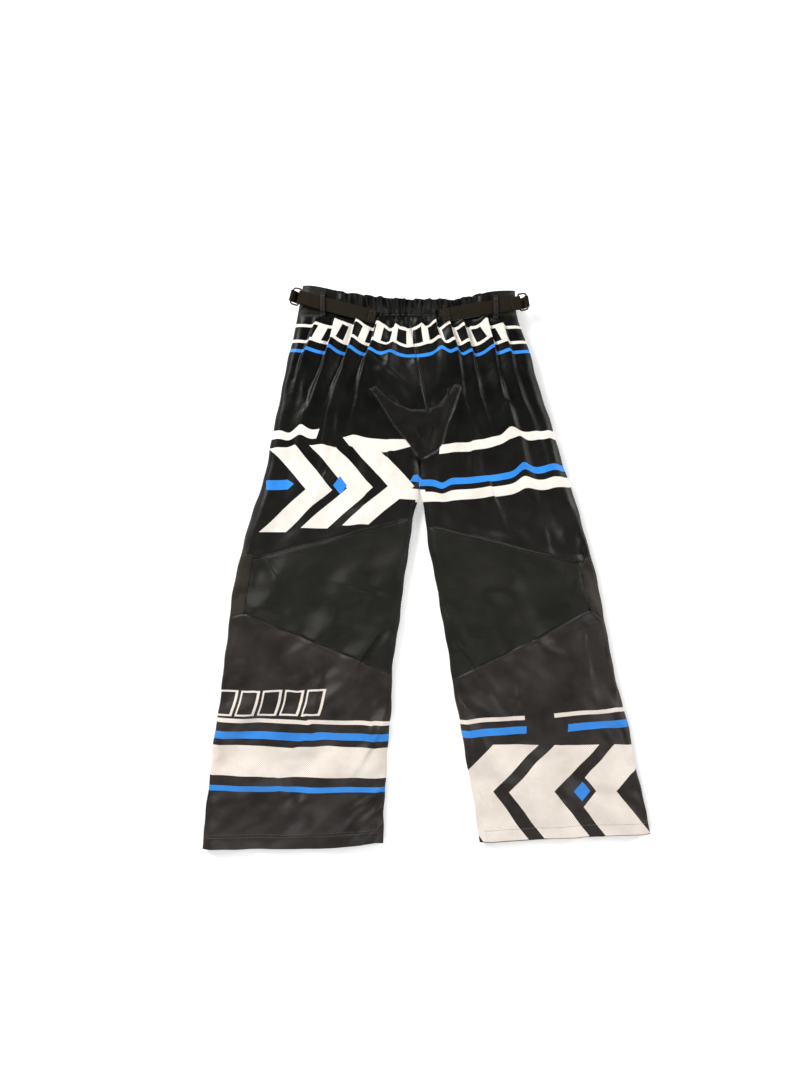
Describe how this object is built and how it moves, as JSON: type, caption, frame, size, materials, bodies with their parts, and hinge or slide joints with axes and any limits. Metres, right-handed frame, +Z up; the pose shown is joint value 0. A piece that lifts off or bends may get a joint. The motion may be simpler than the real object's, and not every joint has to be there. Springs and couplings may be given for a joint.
{
  "type": "hockey pants",
  "caption": "Long wide-legged hockey over-pants laid flat, back up, with a gathered elastic waist, side adjuster straps with rings, ribbed knee panels and a zip fly.",
  "frame": {"origin": "on the floor under the middle of the laid-out garment", "axes": "+Y from the hems to the waist, +Z up out of the garment's back, +X towards the wearer's right leg"},
  "size_m": [0.8502, 1.062, 0.0392],
  "materials": {
    "black_polyester": "satin black polyester",
    "knee_fabric": "matte ribbed black",
    "mesh_jersey": "dotted black jersey",
    "gusset_fabric": "matte stretch black",
    "side_fabric": "brown-black weave",
    "elastic": "gathered black elastic",
    "lining": "plain black",
    "webbing": "ribbed olive-black webbing",
    "hook_tape": "hook-and-loop tape",
    "ring_plastic": "moulded black",
    "zip_metal": "blackened"
  },
  "bodies": {
    "garment": {"back_waistband": "elastic", "back_waistband_facing": "lining", "crotch_gusset": "gusset_fabric", "fly_shield": "lining", "left_back_belt_loop": "black_polyester", "left_back_knee_panel": "knee_fabric", "left_back_upper_panel": "black_polyester", "left_front_belt_loop": "black_polyester", "left_front_facing": "lining", "left_front_interfacing": "lining", "left_front_knee_panel": "knee_fabric", "left_front_upper_panel": "black_polyester", "left_front_waistband": "black_polyester", "left_loop_patch": "hook_tape", "left_ring": "ring_plastic", "left_ring_tab": "lining", "left_side_knee_panel": "side_fabric", "left_strap_over_run": "webbing", "left_strap_webbing": "webbing", "left_zip_tape": "elastic", "press_stud_post": "zip_metal", "right_back_belt_loop": "black_polyester", "right_back_knee_panel": "knee_fabric", "right_back_upper_panel": "black_polyester", "right_front_belt_loop": "black_polyester", "right_front_facing": "lining", "right_front_interfacing": "lining", "right_front_knee_panel": "knee_fabric", "right_front_upper_panel": "black_polyester", "right_front_waistband": "black_polyester", "right_loop_patch": "hook_tape", "right_ring": "ring_plastic", "right_ring_tab": "lining", "right_side_knee_panel": "side_fabric", "right_strap_over_run": "webbing", "right_strap_webbing": "webbing", "right_zip_tape": "elastic", "waist_tab_base": "black_polyester", "waistband_elastic": "elastic", "zip_bottom_stop": "zip_metal"},
    "left_lower_leg": {"left_back_lower_panel": "mesh_jersey", "left_front_lower_panel": "mesh_jersey", "left_hem_turn_up": "mesh_jersey"},
    "right_lower_leg": {"right_back_lower_panel": "mesh_jersey", "right_front_lower_panel": "mesh_jersey", "right_hem_turn_up": "mesh_jersey"},
    "left_strap_end": {"left_strap_tail": "webbing", "left_hook_patch": "hook_tape"},
    "right_strap_end": {"right_strap_tail": "webbing", "right_hook_patch": "hook_tape"},
    "zip_slider": {"zip_slider": "zip_metal"},
    "zip_pull": {"zip_pull": "zip_metal"},
    "waist_tab": {"waist_tab": "black_polyester", "press_stud_cap": "zip_metal"}
  },
  "joints": [
    {"name": "left_knee_fold", "type": "hinge", "parent": "garment", "child": "left_lower_leg", "pos_m": [-0.00019, -0.03304, 0.022], "axis": [-1, 0, 0], "range_deg": [0, 150], "deforming": ["left_back_knee_panel", "left_front_knee_panel", "left_side_knee_panel"]},
    {"name": "right_knee_fold", "type": "hinge", "parent": "garment", "child": "right_lower_leg", "pos_m": [-0.00019, -0.03604, 0.022], "axis": [-1, 0, 0], "range_deg": [0, 150], "deforming": ["right_back_knee_panel", "right_front_knee_panel", "right_side_knee_panel"]},
    {"name": "left_strap_peel", "type": "hinge", "parent": "garment", "child": "left_strap_end", "pos_m": [-0.18542, 0.49639, 0.0354], "axis": [-0.2504, -0.9681, 0], "range_deg": [0, 110]},
    {"name": "right_strap_peel", "type": "hinge", "parent": "garment", "child": "right_strap_end", "pos_m": [0.12117, 0.49142, 0.0354], "axis": [-0.1668, 0.986, 0], "range_deg": [0, 110]},
    {"name": "zip_slide", "type": "slide", "parent": "garment", "child": "zip_slider", "axis": [0, -1, 0], "range_m": [0, 0.115]},
    {"name": "zip_pull_swing", "type": "hinge", "parent": "zip_slider", "child": "zip_pull", "pos_m": [-0.02419, 0.46296, 0.0009], "axis": [1, 0, 0], "range_deg": [0, 150]},
    {"name": "waist_tab_peel", "type": "hinge", "parent": "garment", "child": "waist_tab", "pos_m": [-0.02979, 0.49096, 0.00145], "axis": [0, 1, 0], "range_deg": [0, 110]}
  ]
}
